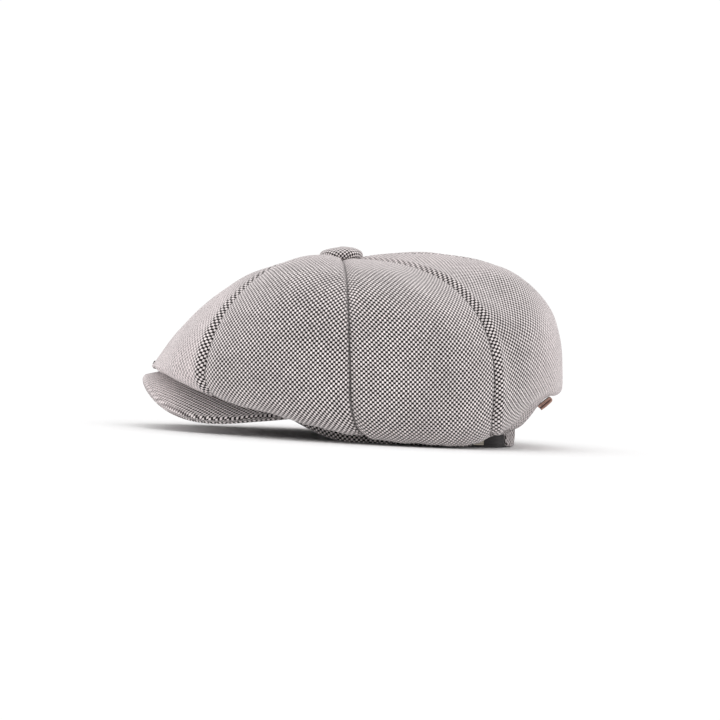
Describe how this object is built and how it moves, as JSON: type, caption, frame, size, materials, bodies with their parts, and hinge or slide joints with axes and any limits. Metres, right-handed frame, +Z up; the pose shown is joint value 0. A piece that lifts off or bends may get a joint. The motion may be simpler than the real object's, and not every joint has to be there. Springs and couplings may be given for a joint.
{
  "type": "newsboy cap",
  "caption": "Full-crowned newsboy cap of black and off-white tweed gores with a covered button, stiff curved brim, lined crown and a small leather tab at the rear.",
  "frame": {"origin": "centre of the oval head opening, on the plane the hem stands on", "axes": "+X to the wearer's left, -Y towards the brim, +Z up through the crown"},
  "size_m": [0.2458, 0.2886, 0.1304],
  "materials": {
    "tweed_crown": "black and off-white woven wool, napped",
    "tweed_band": "black and off-white woven wool, napped",
    "tweed_brim": "black and off-white woven wool, napped",
    "tweed_button": "black and off-white woven wool, napped",
    "lining": "satin",
    "seam_tape": "matt cotton",
    "sweatband": "matt ribbed cotton",
    "buckram": "stiffened",
    "elastic": "ribbed",
    "brim_board": "matt",
    "button_metal": "plain",
    "washer": "matt",
    "leather": "aniline, burnished edges",
    "label": "plain satin"
  },
  "bodies": {
    "cap": {"crown_panel_left_front": "tweed_crown", "crown_panel_left_side_front": "tweed_crown", "crown_panel_left_side_rear": "tweed_crown", "crown_panel_left_rear": "tweed_crown", "crown_panel_right_rear": "tweed_crown", "crown_panel_right_side_rear": "tweed_crown", "crown_panel_right_side_front": "tweed_crown", "crown_panel_right_front": "tweed_crown", "lining_gore_left_front": "lining", "lining_gore_left_side_front": "lining", "lining_gore_left_side_rear": "lining", "lining_gore_left_rear": "lining", "lining_gore_right_rear": "lining", "lining_gore_right_side_rear": "lining", "lining_gore_right_side_front": "lining", "lining_gore_right_front": "lining", "seam_tape_1": "seam_tape", "seam_tape_2": "seam_tape", "seam_tape_3": "seam_tape", "seam_tape_4": "seam_tape", "seam_tape_5": "seam_tape", "seam_tape_6": "seam_tape", "seam_tape_7": "seam_tape", "seam_tape_8": "seam_tape", "headband_cover": "tweed_band", "sweatband": "sweatband", "band_stiffener": "buckram", "rear_elastic": "elastic", "brim_top_cover": "tweed_brim", "brim_under_cover": "tweed_brim", "brim_board": "brim_board", "button_cover": "tweed_button", "button_shell": "button_metal", "button_backplate": "button_metal", "button_shank": "button_metal", "button_washer": "washer", "care_label": "label"},
    "tab": {"rear_tab": "leather"}
  },
  "joints": [
    {"name": "tab_hinge", "type": "hinge", "parent": "cap", "child": "tab", "pos_m": [0, 0.11443, 0.02754], "axis": [-1, 0, 0], "range_deg": [0, 40], "stiffness_Nm_per_rad": 0.0006}
  ]
}
